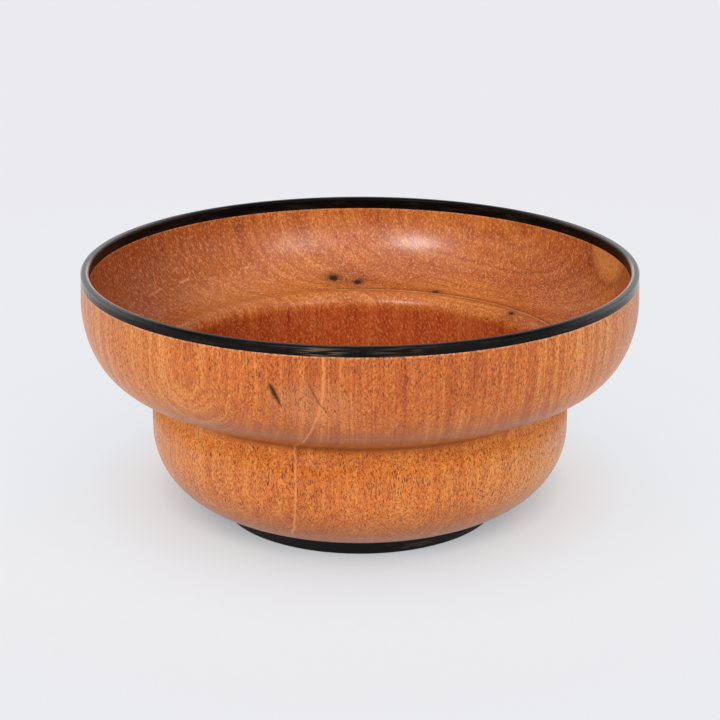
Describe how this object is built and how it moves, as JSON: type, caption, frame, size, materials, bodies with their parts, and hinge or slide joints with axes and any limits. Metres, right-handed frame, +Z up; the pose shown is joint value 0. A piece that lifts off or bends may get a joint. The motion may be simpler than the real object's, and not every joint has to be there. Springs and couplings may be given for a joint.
{
  "type": "turned wooden bowl",
  "caption": "Two-tier turned wooden bowl with a thin black rim ring, a cove between the tiers and a flared black foot ring, open at the top.",
  "frame": {"origin": "centre of the circle that the foot ring stands on", "axes": "+Z up along the bowl's axis of revolution, -Y towards the side seen from the front"},
  "size_m": [0.1604, 0.1604, 0.074],
  "materials": {
    "wood": "lacquered orange-brown hardwood with open pores",
    "black_rim": "polished blackwood with a few brown and cream streaks",
    "black_foot": "polished blackwood, a little duller than the rim"
  },
  "bodies": {
    "root": {"bowl_body": "wood", "rim_ring": "black_rim", "foot_ring": "black_foot"}
  },
  "joints": []
}
